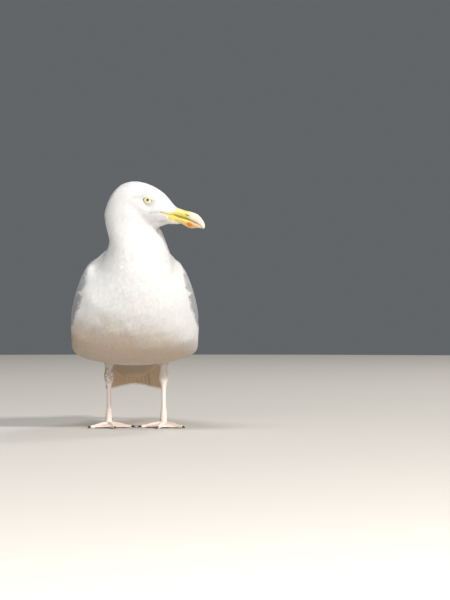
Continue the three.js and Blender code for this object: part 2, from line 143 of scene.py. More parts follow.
def eye_axes(side, at=OPENING_AT):
    """An eye's centre, the way out through its opening, and the ways to its front and top."""
    gaze = unit(LEFT * side * math.cos(at[0]) + FORWARD * math.sin(at[0]) + UP * math.sin(at[1]))
    front = unit(FORWARD - gaze * (FORWARD @ gaze))
    top = unit(UP - gaze * (UP @ gaze) - front * (UP @ front))
    return head_point(0, 0, side * EYE_SIDE), gaze, front, top


# ---------------------------------------------------------------- meshes as arrays


def read_mesh(mesh, sides):
    """A mesh's points and its faces, which all have so many sides."""
    points = np.empty(len(mesh.vertices) * 3)
    mesh.vertices.foreach_get("co", points)
    faces = np.empty(len(mesh.polygons) * sides, np.int64)
    mesh.polygons.foreach_get("vertices", faces)
    return points.reshape(-1, 3), faces.reshape(-1, sides)


def put(items, key, values, kind=np.float32):
    """An array into one value of each of a mesh's items."""
    items.foreach_set(key, np.ascontiguousarray(values, kind).ravel())


def fill_mesh(mesh, points, faces):
    """Points and equal-sided faces into an empty mesh."""
    mesh.vertices.add(len(points))
    mesh.loops.add(faces.size)
    mesh.polygons.add(len(faces))
    put(mesh.vertices, "co", points)
    put(mesh.loops, "vertex_index", faces, np.int32)
    put(mesh.polygons, "loop_start", np.arange(len(faces)) * faces.shape[1], np.int32)
    put(mesh.polygons, "use_smooth", np.ones(len(faces)), bool)
    mesh.update(calc_edges=True)
    mesh.validate()


def in_scene(name, data):
    obj = bpy.data.objects.new(name, data)
    bpy.context.scene.collection.objects.link(obj)
    return obj


def piece(name, points, faces, tint, material, replaces=(), uv=None, normals=None, marks=None):
    """A visible object from arrays in the bird's frame, with a colour for each point.

    marks are further named values, one for each point, that the material reads.
    """
    mesh = bpy.data.meshes.new(name)
    fill_mesh(mesh, points * MM + ORIGIN, faces)
    if uv is not None:
        put(mesh.uv_layers.new(name="OFBake").data, "uv", uv[faces.ravel()])
    tints = mesh.color_attributes.new("Tint", "FLOAT_COLOR", "POINT")
    put(tints.data, "color", np.concatenate([tint, np.ones((len(tint), 1))], 1))
    for key, values in (marks or {}).items():
        put(mesh.attributes.new(key, "FLOAT", "POINT").data, "value", values)
    if normals is not None:
        mesh.normals_split_custom_set_from_vertices(normals.tolist())
    mesh.materials.append(material)
    obj = in_scene(name, mesh)
    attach(obj, "root")
    if replaces:
        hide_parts(*replaces)


def remeshed(names, voxel, swell=0.35):
    """One closed quad mesh round several CAD nodes, each swollen a little to close the thin cuts."""
    joined = bmesh.new()
    for name in names:
        mesh = bpy.data.meshes.new("part")
        points, triangles = read_mesh(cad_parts[name].data, 3)
        fill_mesh(mesh, (points - ORIGIN) / MM, triangles)
        part = bmesh.new()
        part.from_mesh(mesh)
        bmesh.ops.remove_doubles(part, verts=part.verts, dist=0.01)
        part.normal_update()
        for vertex in part.verts:
            vertex.co += vertex.normal * swell
        part.to_mesh(mesh)
        joined.from_mesh(mesh)
        part.free()
        bpy.data.meshes.remove(mesh)
    mesh = bpy.data.meshes.new("joined")
    joined.to_mesh(mesh)
    joined.free()
    obj = in_scene("joined", mesh)
    remesh = obj.modifiers.new("remesh", "REMESH")
    remesh.mode = "VOXEL"
    remesh.voxel_size = voxel
    result = read_mesh(obj.evaluated_get(bpy.context.evaluated_depsgraph_get()).to_mesh(), 4)
    bpy.data.objects.remove(obj)
    bpy.data.meshes.remove(mesh)
    return result


def refined(points, faces, wanted, times):
    """All triangles, with those whose corners are wanted split in four, so many times over."""
    mesh = bpy.data.meshes.new("refined")
    fill_mesh(mesh, points, faces)
    fine = bmesh.new()
    fine.from_mesh(mesh)
    for _ in range(times):
        inside = wanted(np.array([v.co for v in fine.verts]))
        fine.verts.index_update()
        edges = [e for e in fine.edges if inside[e.verts[0].index] and inside[e.verts[1].index]]
        bmesh.ops.subdivide_edges(fine, edges=edges, cuts=1, use_grid_fill=True)
    bmesh.ops.triangulate(fine, faces=fine.faces)
    fine.to_mesh(mesh)
    fine.free()
    result = read_mesh(mesh, 3)
    bpy.data.meshes.remove(mesh)
    return result


def in_triangles(faces):
    return faces if faces.shape[1] == 3 else np.concatenate([faces[:, [0, 1, 2]], faces[:, [0, 2, 3]]])


def rings_joined(rings, around):
    """Quads between rings of so many points, one ring after another."""
    start, j = np.meshgrid(np.arange(rings - 1) * around, np.arange(around), indexing="ij")
    near, far = start + j, start + (j + 1) % around
    return np.stack([near, far, far + around, near + around], -1).reshape(-1, 4)


def edges_of(faces):
    """Each pair of neighbouring points once."""
    pairs = np.concatenate([faces[:, [k, (k + 1) % faces.shape[1]]] for k in range(faces.shape[1])])
    return np.unique(np.sort(pairs, 1), axis=0)


def smoothed(values, edges, rounds, share=0.5):
    """Each value pulled towards its neighbours' mean, so many times over. share may differ by point."""
    n = len(values)
    first, second = edges.T
    count = np.maximum(np.bincount(edges.ravel(), minlength=n), 1)[:, None]
    share = np.broadcast_to(np.asarray(share, float), (n,))[:, None]
    flat = values.reshape(n, -1).astype(float)
    for _ in range(rounds):
        total = np.stack([
            np.bincount(first, column[second], n) + np.bincount(second, column[first], n)
            for column in flat.T
        ], 1)
        flat = flat + share * (total / count - flat)
    return flat.reshape(values.shape)


def evened(points, edges, rounds, kept_rounds, share):
    """Smoothed, with the broad part of what smoothing took away put back, so that nothing shrinks."""
    soft = smoothed(points, edges, rounds, share)
    return soft + smoothed(points - soft, edges, kept_rounds, share)


def normals_of(points, faces):
    across = np.cross(points[faces[:, 2]] - points[faces[:, 0]], points[faces[:, -1]] - points[faces[:, 1]])
    total = np.zeros_like(points)
    for k in range(faces.shape[1]):
        for axis in range(3):
            total[:, axis] += np.bincount(faces[:, k], across[:, axis], len(points))
    return unit(total)


def laid(vectors, normals):
    """Directions turned to lie along a surface."""
    return unit(vectors - normals * (vectors * normals).sum(1, keepdims=True))


# ---------------------------------------------------------------- materials


def shader(name, roughness, **sockets):
    """A new material with its Principled shader, constants set on the shader's own sockets."""
    material = bpy.data.materials.new(name)
    material.use_nodes = True
    main = material.node_tree.nodes["Principled BSDF"]
    main.inputs["Roughness"].default_value = roughness
    for key, value in sockets.items():
        main.inputs[key.replace("_", " ")].default_value = value
    return material, material.node_tree, main


def node(tree, kind, *feeds, **values):
    """A new shader node's first output. Feeds go to its inputs in turn, as numbers or other outputs."""
    made = tree.nodes.new("ShaderNode" + kind)
    for key, value in values.items():
        if key in made.inputs:
            made.inputs[key].default_value = value
        else:
            setattr(made, key, value)
    for socket, feed in zip(made.inputs, feeds):
        if isinstance(feed, bpy.types.NodeSocket):
            tree.links.new(feed, socket)
        else:
            socket.default_value = feed
    return made.outputs[0]


def attribute(tree, name, output="Fac"):
    made = tree.nodes.new("ShaderNodeAttribute")
    made.attribute_name = name
    return made.outputs[output]


def two_colours(tree, main, factor, colours):
    """The base colour, running from one colour to another by a factor."""
    made = tree.nodes.new("ShaderNodeValToRGB")
    for stop, colour in zip(made.color_ramp.elements, colours):
        stop.color = (*colour, 1)
    tree.links.new(factor, made.inputs["Fac"])
    tree.links.new(made.outputs["Color"], main.inputs["Base Color"])


def tinted(tree, main, scale, amount):
    """The mesh's own tint as the base colour, mottled a little by noise."""
    noise = node(tree, "TexNoise", Scale=scale, Detail=4.0)
    spread = node(tree, "MapRange", noise, 0.0, 1.0, 1 - amount, 1 + amount * 0.6)
    product = node(tree, "VectorMath", attribute(tree, "Tint", "Color"), spread, operation="MULTIPLY")
    tree.links.new(product, main.inputs["Base Color"])


def bumped(tree, main, height, strength, distance):
    bump = node(tree, "Bump", Strength=strength, Distance=distance)
    tree.links.new(height, bump.node.inputs["Height"])
    tree.links.new(bump, main.inputs["Normal"])


def plumage_material():
    """Soft feathers: fine barbs along each tuft, and a faint mottle over many."""
    material, tree, main = shader(
        "plumage", 0.85, Specular_IOR_Level=0.12, Sheen_Weight=0.1,
        Subsurface_Weight=0.3, Subsurface_Scale=0.002, Subsurface_Radius=(1.0, 1.0, 1.0),
    )
    tinted(tree, main, 70.0, 0.05)
    place = node(tree, "CombineXYZ", attribute(tree, "Across"), attribute(tree, "Along"))
    drawn_out = node(tree, "VectorMath", place, (4.0, 0.5, 1.0), operation="MULTIPLY")
    bumped(tree, main, node(tree, "TexNoise", drawn_out, Scale=1.6, Detail=3.0), 0.5, 0.0005)
    return material


def vane_material():
    """Flight feathers: fine barbs run out and back from the shaft."""
    material, tree, main = shader("flight_feather", 0.7, Specular_IOR_Level=0.2, Sheen_Weight=0.05)
    tinted(tree, main, 500.0, 0.08)
    out = node(tree, "Math", attribute(tree, "Across"), operation="ABSOLUTE")
    lean = node(tree, "Math", out, -1.0, attribute(tree, "Along"), operation="MULTIPLY_ADD")
    ridges = node(tree, "Math", lean, 8.0, operation="MULTIPLY")
    bumped(tree, main, node(tree, "Math", ridges, operation="SINE"), 0.14, 0.0002)
    return material


def skin_material():
    material, tree, main = shader("skin", 0.6, Specular_IOR_Level=0.35)
    tinted(tree, main, 600.0, 0.06)
    bumped(tree, main, node(tree, "TexVoronoi", Scale=900.0), 0.35, 0.0004)
    return material


def bill_material():
    material, tree, main = shader(
        "bill_horn", 0.32, Specular_IOR_Level=0.5, Coat_Weight=0.15, Coat_Roughness=0.25,
    )
    tinted(tree, main, 260.0, 0.1)
    bumped(tree, main, node(tree, "TexNoise", Scale=420.0, Detail=5.0), 0.25, 0.0004)
    return material


def claw_material():
    material, tree, main = shader("claw_horn", 0.35, Specular_IOR_Level=0.5)
    noise = node(tree, "TexNoise", Scale=700.0, Detail=4.0)
    two_colours(tree, main, noise, ((0.012, 0.01, 0.008), (0.07, 0.055, 0.042)))
    bumped(tree, main, noise, 0.3, 0.0003)
    return material


def eye_material():
    material, tree, main = shader("eye", 0.08, Specular_IOR_Level=0.6, Coat_Weight=0.6, Coat_Roughness=0.03)
    tinted(tree, main, 1500.0, 0.12)
    return material


PLUMAGE = plumage_material()
VANE = vane_material()
SKIN = skin_material()
HORN = bill_material()
CLAW = claw_material()
EYE = eye_material()

# ---------------------------------------------------------------- colours, markings and painted shade


def rgb(*parts):
    return np.array(parts)


WHITE = rgb(0.90, 0.89, 0.875)
# painted warm shade and warm reflected light, laid on the lower belly
WARM_SHADE = rgb(0.62, 0.46, 0.31)
GREY = rgb(0.36, 0.37, 0.385)
BLACK = rgb(0.016, 0.016, 0.018)
# painted darker shade, for under the tail and its coverts
UNDER_SHADE = rgb(0.56, 0.40, 0.26)
SHADE = rgb(0.45, 0.38, 0.33)
DARK = rgb(0.10, 0.075, 0.06)
FLESH = rgb(0.87, 0.74, 0.67)
SHANK = rgb(0.90, 0.83, 0.77)
SCUTE = rgb(0.50, 0.36, 0.30)
WEB = rgb(0.72, 0.50, 0.42)
YELLOW = rgb(0.76, 0.60, 0.16)
BILL_BASE = rgb(0.74, 0.60, 0.36)
GAPE = rgb(0.74, 0.62, 0.45)
OLIVE = rgb(0.52, 0.45, 0.03)
IVORY = rgb(0.74, 0.66, 0.49)
RED = rgb(0.68, 0.20, 0.02)
ORANGE = rgb(0.72, 0.34, 0.07)
# painted shade in the line between the bill's halves
BILL_CREASE_SHADE = rgb(0.20, 0.12, 0.04)
# painted shade in the nostril slit
NOSTRIL_SHADE = rgb(0.30, 0.17, 0.06)
IRIS_PALE = rgb(0.88, 0.83, 0.64)
IRIS_FLECK = rgb(0.84, 0.74, 0.48)
IRIS_RIM = rgb(0.66, 0.54, 0.32)
PUPIL_BLACK = rgb(0.008, 0.008, 0.008)
LID = rgb(0.84, 0.70, 0.36)
LID_EDGE = rgb(0.88, 0.83, 0.72)


def wing_lower_edge(forward):
    return along_line(
        forward, (80, 142), (60, 136), (8, 128), (-38, 118), (-84, 108), (-130, 98), (-170, 93), (-230, 92),
    )


def wing_inner_edge(up):
    """How far from the middle plane the grey of the wing starts, seen from the front."""
    return along_line(
        up, (133, 80), (142, 74), (153, 69), (168, 65), (190, 62), (205, 58), (215, 51), (224, 44), (236, 36),
    )


def wing_front_edge(up):
    """How far forward the grey of the wing reaches, seen from the side."""
    return along_line(
        up, (134, 70), (146, 84), (165, 94), (188, 94), (206, 84), (222, 66), (236, 48), (248, 34),
    )


def under_tail(forward):
    """Below this height the hind part of the belly and the tail's coverts get painted darker shade."""
    return along_line(forward, (-95, 92), (-140, 88), (-180, 78), (-214, 67), (-236, 55))


def grey_depth(points):
    """How far inside the grey of mantle and wings a place lies, and less than 0 outside it."""
    forward, up = -points[:, 1], points[:, 2]
    tuft = hump(up, 183, 4.5) * 9 * ramp(forward, 50, 65)
    beside = np.abs(points[:, 0]) - wing_inner_edge(up) - tuft
    beside = np.minimum(beside, wing_front_edge(up) - forward)
    behind = np.maximum(beside, 37 - forward)
    return np.min([behind, up - wing_lower_edge(forward), 247 - up, forward + 184], axis=0)


def grey_share(points):
    """1 on the grey mantle and wings, 0 on the white plumage."""
    return ramp(grey_depth(points), -1.5, 1.5)


def shade_patches(points):
    """Soft patches from 0 to 1, some 15 mm across."""
    x, y, z = points.T / 15
    first = np.sin(x * 1.7 + 1.3 * np.sin(z * 1.1 + 0.4)) * np.sin(z * 2.3 + np.sin(x * 0.9) + y * 0.3)
    second = np.sin(x * 3.1 - z * 1.9 + 2.0) * np.sin(z * 3.7 + x * 1.3)
    return np.clip(0.5 + 0.35 * first + 0.3 * second, 0, 1)


# Lines of painted shade in the face's creases. From and to as (forward, up), breadth and
# strength: behind the gape, under the bill's corner, over and behind the eye, and before the eye.
FACE_SHADE_LINES = (
    ((12, -15), (21, -12), 1.0, 0.55),
    ((23, -23.6), (32, -19.4), 0.9, 0.45),
    ((-14, 0.5), (-8, 2), 1.6, 0.25),
    ((11, 0.5), (17, 1.5), 3.0, 0.22),
)


def face_shade(points):
    forward, up, _ = in_head(points)
    marks = np.zeros(len(points))
    for start, end, breadth, strength in FACE_SHADE_LINES:
        run, rise = end[0] - start[0], end[1] - start[1]
        share = ((forward - start[0]) * run + (up - start[1]) * rise) / (run ** 2 + rise ** 2)
        share = np.clip(share, 0, 1)
        off = np.hypot(forward - start[0] - share * run, up - start[1] - share * rise)
        marks = np.maximum(marks, strength * hump(off, 0, breadth))
    return marks * (points[:, 2] > 262)


def joint_shade_flecks(points):
    """Painted shade in flecks about the joint of the right leg, on the side away from the key light."""
    x, y, z = points.T
    near = ramp(from_leg(points), 16, 12) * (x < 0)
    flecks = 0.5 + 0.5 * np.sin(x * 1.1 + 1.4 * np.sin(z * 0.5)) * np.sin(z * 0.9 + y * 0.6)
    return 0.8 * ramp(flecks, 0.3, 0.6) * near * ramp(z, 55, 60) * ramp(z, 86, 82)


def plumage_tint(points):
    """The plumage's colour: white above, grey wings and mantle, with painted warm shade on the belly and
    painted darker shade under the tail.
    """
    forward, up = -points[:, 1], points[:, 2]
    # Painted warm shade and warm reflected light on the lower belly: its upper line stands higher on the
    # bird's right, away from the key light, and a little shade lies on the rear underside.
    lower = up + 0.2 * points[:, 0] * ramp(forward, -20, 40)
    belly = ramp(lower, 149, 110) * 0.78 + ramp(forward, -120, -200) * ramp(up, 110, 80) * 0.3
    belly *= mix(0.45, 1.0, ramp(up, 84, 92))
    # Soft patches mottle the painted warm shade along its upper line.
    belly += 0.4 * shade_patches(points) * hump(lower, 138, 15) * ramp(np.abs(points[:, 0]), 78, 50)
    under = under_tail(forward)
    belly *= 1 - ramp(forward, -135, -165) * ramp(up, under + 4, under + 10)
    colour = painted(WHITE, WARM_SHADE, np.clip(belly, 0, 0.85))
    # Painted darker shade under the hind belly and the tail's coverts.
    colour = painted(colour, UNDER_SHADE, ramp(forward, -72, -115) * ramp(up, under + 5, under - 5))
    # Painted shade in the face's creases, round the eyes and behind the gape.
    colour = painted(colour, SHADE, face_shade(points))
    # Painted shade in flecks about the right leg's joint.
    colour = painted(colour, SHADE, joint_shade_flecks(points))
    # Painted shade on the grey, a little darker towards the wing's front edge.
    shoulder = ramp(forward, 30, 60) * ramp(up, 200, 175)
    grey = GREY * mix(1.0, 0.7, shoulder)[:, None]  # a little darker towards the wing's front edge
    return painted(colour, grey, grey_share(points))


# ---------------------------------------------------------------- skin

FLESH_NODES = ("head", "neck", "trunk", "wing_left", "wing_right", "thigh_left", "thigh_right")
BARE_NODES = ("shank_left", "shank_right", "foot_left", "foot_right")
BILL_NODES = ("bill_upper", "bill_lower")
FILLERS = ("eye_left", "eye_right") + BILL_NODES + BARE_NODES[:2]  # they close the body's openings
BODY_VOXEL = 1.9
BILL_VOXEL = 0.45
LEG_VOXEL = 0.62


def body_softness(points):
    """How much each place of the body is smoothed: little on the face, much on neck and trunk."""
    forward, up, _ = in_head(points)
    from_head = np.linalg.norm(points - head_point(-8, -8, 0), axis=1)
    nape = ramp(forward, -20, -40) * ramp(up, 5, -20) * ramp(up, -80, -60)
    jaw = ramp(up, -24, -34) * ramp(forward, 14, 4)
    softness = np.maximum(mix(0.05, 0.5, ramp(from_head, 85, 140)), 0.35 * np.maximum(nape, jaw))
    return softness * (1 - 0.85 * ramp(from_leg(points), 30, 20) * ramp(points[:, 2], 100, 90))


def unfolded(points, faces, edges):
    """Points with the places smoothed where the surface turns sharply, most of all beside the rump."""
    beside_rump = (np.abs(points[:, 0]) < 55) & (points[:, 1] > 55) & (points[:, 2] > 96)
    allowed = np.where(beside_rump, 0.86, 0.6)
    within = beside_rump | (points[:, 2] > 110)
    for _ in range(4):
        normals = normals_of(points, faces)
        turned = (normals[edges[:, 0]] * normals[edges[:, 1]]).sum(1) < allowed[edges[:, 0]]
        at_fold = np.zeros(len(points))
        at_fold[edges[turned].ravel()] = 1
        at_fold = smoothed(at_fold, edges, 4) > 0
        points = smoothed(points, edges, 25, np.where(at_fold & within, 0.6, 0.0))
    return points


def on_face(points):
    """True round the eyes and at the bill's root, where the skin is finest."""
    forward, up, left = in_head(points)
    return (forward > -9) & (forward < 44) & (up > -25) & (up < 11) & (np.abs(left) < 26)


def coat_depth(points):
    """How far the skin lies under the plumage's outline."""
    forward, up, _ = in_head(points)
    depth = mix(0.7, mix(1.35, 1.8, grey_share(points)), ramp(up, -35, -85))
    depth = mix(0.6, depth, ramp(points[:, 2], 74, 92))
    return mix(depth, 0.6, ramp(forward, 28, 36) * ramp(up, -45, -32))


def tucked_into_bill(points):
    """The skin's front end drawn back and in, so that the horn covers all but the chin."""
    forward, up, left = in_head(points)
    chin = ramp(up, -16.5, -18.5) * (forward < CHIN_END)
    inside = ramp(forward, 38, 46) * (1 - chin)
    middle_up = along_line(forward, (30, -9), (55, -12), (80, -14))
    shorter = np.where(forward > 44, 44 + (forward - 44) * 0.12, forward)
    narrow = mix(1, 0.55, inside)
    drop = 1.1 * chin * ramp(forward, 30, 36) * ramp(forward, CHIN_END, CHIN_END - 5)
    moved = (
        FORWARD * ((shorter - forward) * (1 - chin))[:, None]
        + UP * ((up - middle_up) * (narrow - 1) - drop)[:, None]
        + LEFT * (left * (narrow - 1))[:, None]
    )
    return points + moved * (forward > 30)[:, None] * ((up > -30) & (np.abs(left) < 16))[:, None]


def shape_sockets(points):
    """The skin sinks under the rim of each eye, with a low brow above it."""
    points = points.copy()
    for side in (-1, 1):
        middle, gaze, front, top = eye_axes(side)
        out = points - middle
        height, ahead, above = out @ gaze, out @ front, out @ top
        radius = np.hypot(ahead, above)
        close = ramp(radius, mix(9.6, 12.5, ramp(above, 2, -4)), 6.8) * (height > 0)
        target = mix(height, mix(4.7, 5.2, ramp(above, 1, -4)), close)
        brow = 0.4 * hump(radius, 8.6, 2.2) * ramp(above, 0, 4) * (height > 0)
        points += gaze * (target - height + brow)[:, None]
    return points


def body_skin():
    """The skin of head, neck, trunk, wings and thighs, and its edges."""
    points, faces = remeshed(FLESH_NODES + FILLERS, BODY_VOXEL)
    edges = edges_of(faces)
    points = evened(points, edges, 130, 50, body_softness(points))
    points = unfolded(points, faces, edges)
    points, faces = refined(points, faces, on_face, 2)
    edges = edges_of(faces)
    points = smoothed(points, edges, 6, np.where(on_face(points), 0.5, 0.0))
    points = points - normals_of(points, faces) * coat_depth(points)[:, None]
    return shape_sockets(tucked_into_bill(points)), faces, edges


body_points, body_faces, body_edges = body_skin()
body_normals = unit(smoothed(normals_of(body_points, body_faces), body_edges, 2))
body_tree = BVHTree.FromPolygons(body_points.tolist(), body_faces.tolist())

DOWN = np.array([0.0, 0.0, -1.0])
DOWN_LEG = np.array([0.0, 0.15, -1.0])
WING_RUN = unit(np.array([0.0, 0.93, -0.37]))
WING_FROM = 22  # how far from the middle plane the mantle gives way to the wing


def flow_at(points):
    """The lie of the plumage, before it is laid onto the surface.

    It runs back from the bill over the head, spreads down from the head over neck and breast, and
    turns towards the tail behind them.
    """
    forward, up, _ = in_head(points)
    back = unit(points - head_point(45, -12, 0))
    over_head = unit(mix(back, DOWN, (ramp(forward, 8, -25) * ramp(up, 14, -6))[:, None]))
    over_body = unit(points - head_point(0, 30, 0))
    over_body = unit(mix(over_body, WING_RUN, ramp(points[:, 1], -70, 40)[:, None]))
    return unit(mix(over_head, over_body, ramp(up, -15, -38)[:, None]))


def lie_of_plumage():
    """The way that feathers point at each point of the skin."""
    flow = flow_at(body_points)
    on_wing = grey_share(body_points) * (np.abs(body_points[:, 0]) > WING_FROM) > 0.5
    flow = np.where(on_wing[:, None], WING_RUN, flow)
    low_leg = ramp(body_points[:, 2], 92, 84) * ramp(from_leg(body_points), 22, 12)
    flow = unit(mix(flow, DOWN_LEG, low_leg[:, None]))
    for _ in range(6):
        flow = laid(smoothed(flow, body_edges, 4), body_normals)
    return flow


body_flow = lie_of_plumage()
print("skin", len(body_points), len(body_faces))

# ---------------------------------------------------------------- coats

TRIES = 5.0  # how many roots are thrown for each that would fit


def thrown(mask, spacing):
    """Roots thrown at random onto the masked faces, a corner of each one's face, and their spacings."""
    faces = np.flatnonzero(mask)
    corners = body_points[body_faces[faces]]
    area = np.linalg.norm(np.cross(corners[:, 1] - corners[:, 0], corners[:, 2] - corners[:, 0]), axis=1) / 2
    gap = spacing(corners.mean(1))
    share = area / gap ** 2
    count = int(share.sum() * TRIES)
    picked = rng.choice(len(faces), count, p=share / share.sum())
    u, v = rng.random((2, count, 1))
    u, v = np.where(u + v > 1, 1 - u, u), np.where(u + v > 1, 1 - v, v)
    first, second, third = corners[picked].transpose(1, 0, 2)
    points = first + (second - first) * u + (third - first) * v
    return points, body_faces[faces[picked], 0], gap[picked]


def scattered(mask, spacing):
    """Roots spread over the masked faces, no two closer than the spacing at their place."""
    points, corners, gaps = thrown(mask, spacing)
    cells = np.floor(points / gaps.max()).astype(int).tolist()
    around = [(i, j, k) for i in (-1, 0, 1) for j in (-1, 0, 1) for k in (-1, 0, 1)]
    taken = {}

    def clashes(x, y, z, i, j, k, gap_squared):
        for di, dj, dk in around:
            for px, py, pz in taken.get((i + di, j + dj, k + dk), ()):
                if (px - x) ** 2 + (py - y) ** 2 + (pz - z) ** 2 < gap_squared:
                    return True
        return False

    kept = []
    for index, (point, place, gap) in enumerate(zip(points.tolist(), cells, gaps.tolist())):
        if not clashes(*point, *place, gap * gap):
            taken.setdefault(tuple(place), []).append(point)
            kept.append(index)
    return points[kept], corners[kept]


# Points on the middle line, from the bill to the tail, that the unwrap follows.
SPINE = np.array([
    head_point(40, -11, 0),
    head_point(18, -8, 0),
    head_point(-8, -10, 0),
    head_point(-30, -18, 0),
    [-3, -84, 262],
    [2, -82, 225],
    [0, -50, 180],
    [0, 20, 142],
    [0, 110, 108],
    [0, 205, 84],
    [0, 275, 52],
])


def unwrap(points):
    """Where points lie along the body and round it, as two numbers."""
    starts, ends = SPINE[:-1], SPINE[1:]
    steps = ends - starts
    lengths = np.linalg.norm(steps, axis=1)
    share = np.clip(np.einsum("pik,ik->pi", points[:, None] - starts, steps) / lengths ** 2, 0, 1)
    off = points[:, None] - (starts + share[..., None] * steps)
    nearest = np.linalg.norm(off, axis=2).argmin(1)
    rows = np.arange(len(points))
    along = (np.cumsum(lengths) - lengths)[nearest] + share[rows, nearest] * lengths[nearest]
    across = off[rows, nearest]
    ahead = unit(steps)[nearest]
    sideways = unit(np.cross(ahead, np.array([0.0, -0.6, 0.8])))
    upward = np.cross(sideways, ahead)
    return along, np.arctan2((across * sideways).sum(1), (across * upward).sum(1))


def patch_uv(roots, a, b, width=0.003):
    """Each tuft's points as a small patch round its root's place on the body's own unwrap."""
    along, angle = [
        0.01 + 0.98 * (values - values.min()) / max(np.ptp(values), 1e-6)
        for values in unwrap(roots)
    ]
    u = angle[:, None, None] + (b - 0.5) * width
    v = along[:, None, None] + (a - 0.5) * width
    return np.stack(np.broadcast_arrays(u, v), -1).reshape(-1, 2)


def grid_faces(rows, columns, copies):
    """Quads of many like grids of rows x columns points."""
    i, j = np.meshgrid(np.arange(rows - 1), np.arange(columns - 1), indexing="ij")
    first = (i * columns + j).ravel()
    quad = np.stack([first, first + columns, first + columns + 1, first + 1], 1)
    return (quad[None] + (np.arange(copies) * rows * columns)[:, None, None]).reshape(-1, 4)


def on_skin(points):
    """Points dropped onto the skin, with the skin's normals there."""
    found = [body_tree.find_nearest(Vector(p)) for p in points.reshape(-1, 3).tolist()]
    normals = body_normals[body_faces[[f[2] for f in found]]].mean(1)
    return np.array([f[0] for f in found]), unit(normals)


def swung(ahead, normal, degrees):
    """Each vane's way ahead and way to its side, turned a little at random."""
    side = np.cross(normal, ahead)
    turn = np.radians(rng.normal(0, degrees, len(ahead)))[:, None]
    return ahead * np.cos(turn) + side * np.sin(turn), side * np.cos(turn) - ahead * np.sin(turn)


def spread_out(roots, ahead, side, forth, aside):
    """Vanes spread flat on the plane at each root."""
    along = roots[:, None, None] + ahead[:, None, None] * forth[..., None]
    return along + side[:, None, None] * aside[..., None]


def edge_trim(flat):
    """Each vane's share of its width, less where one side would hang over a sharp edge of the skin."""
    off = np.linalg.norm(flat.reshape(-1, 3) - on_skin(flat)[0], axis=1).reshape(flat.shape[:3])
    hang = (off.max(2) - off.min(2)).max(1)
    return mix(0.25, 1.0, ramp(hang, 2.4, 0.7))


def dropped(flat, normal):
    """Flat vanes dropped onto the skin, and the ways up from it. None turns over at a sharp edge."""
    base, up = on_skin(flat)
    root_up = np.repeat(normal, len(base) // len(normal), 0)
    agreed = ramp((up * root_up).sum(1, keepdims=True), 0.0, 0.7)
    return base, unit(mix(root_up, up, agreed))


def coat_colour(roots, a, b, fringe):
    """The plumage's colour at each root, a little lighter or darker, with a pale fringe round the vane."""
    colour = plumage_tint(roots) * rng.uniform(0.94, 1.03, len(roots))[:, None]
    rim = np.maximum(ramp(a, 0.72, 1.0), ramp(np.abs(b), 0.6, 1.0)) * ramp(a, 0.3, 0.6)
    rim = np.tile(rim.ravel(), len(roots))
    return np.clip(painted(np.repeat(colour, a.size * b.size, 0), WHITE, rim * fringe), 0, 1)


def coat(name, mask, slot, spacing, length, width, height=coat_depth, rows=4, columns=3, fray=0.25,
         swing=8.0, point=0.0, fringe=0.0, trimmed=False):
    """Many vanes lying along the skin, each over the roots of those behind it.

    spacing, length, width and height are functions of place; height is how far the tips stand off.
    """
    roots, corners = scattered(mask, spacing)
    n = len(roots)
    normal = body_normals[corners]
    ahead, side = swung(laid(body_flow[corners], normal), normal, swing)
    size = rng.uniform(0.85, 1.15, n)
    a = np.linspace(0, 1, rows)[None, :, None]
    b = np.linspace(-1, 1, columns)[None, None, :]
    reach = (1 - 0.45 * np.abs(b) ** 2.5) * (1 - rng.random((n, 1, columns)) * fray)
    broad = (0.35 + 0.65 * np.sin(np.minimum(a * 1.5, 1) * math.pi / 2)) * (1 - point * a ** 2)
    forth = (length(roots) * size)[:, None, None] * a * reach
    aside = (width(roots) * size / 2)[:, None, None] * b * broad * np.ones_like(forth)
    if trimmed:
        aside = aside * edge_trim(spread_out(roots, ahead, side, forth, aside))[:, None, None]
    base, up = dropped(spread_out(roots, ahead, side, forth, aside), normal)

    rise = 0.1 + 0.75 * (1 - (1 - a) ** 2) + 0.15 * a
    lift = height(roots)[:, None, None] * rise * rng.uniform(0.96, 1.04, n)[:, None, None] - 0.12 * b ** 2
    tilt = np.repeat(rng.normal(0, 0.035, (n, 3)), rows * columns, 0)
    cup = side[:, None, None] * (b * 0.12 * np.ones_like(forth))[..., None]
    faces = grid_faces(rows, columns, n)
    print(name, n, "feathers,", len(faces) * 2, "triangles")
    piece(
        name, base + up * lift.reshape(-1, 1), faces, coat_colour(roots, a, b, fringe), PLUMAGE,
        uv=patch_uv(roots, a, (b + 1) / 2),
        normals=unit(up + tilt + cup.reshape(-1, 3)),
        marks={"Along": forth.ravel(), "Across": (aside + rng.uniform(0, 500, n)[:, None, None]).ravel()},
    )


def to_nearest_eye(points):
    eyes = [eye_axes(side) for side in (-1, 1)]
    return np.min([np.linalg.norm(points - middle - gaze * 5, axis=1) for middle, gaze, _, _ in eyes], axis=0)


def near_wing(points):
    """1 for white feathers close to the wing's front edge."""
    beside = np.abs(points[:, 0]) - wing_inner_edge(points[:, 2])
    return ramp(beside, -14, -4) * (points[:, 2] > 130) * (points[:, 2] < 235) * (points[:, 1] < 0)


def feather_length(points):
    """Short on the face, growing down the neck to the body."""
    on_crown = ramp(in_head(points)[0], 34, 8)
    down = ramp(points[:, 2], 285, 200)
    at_wing = 1 - 0.5 * near_wing(points)
    at_eye = mix(0.5, 1.0, ramp(to_nearest_eye(points), 7, 14))
    return mix(mix(2.4, 4.6, on_crown), 13.0, down) * at_wing * at_eye


def feather_width(points):
    return feather_length(points) * mix(0.42, 0.36, ramp(points[:, 2], 270, 210))


def feather_gap(points):
    return np.maximum(feather_length(points) * mix(0.19, 0.13, ramp(points[:, 2], 270, 210)), 0.7)


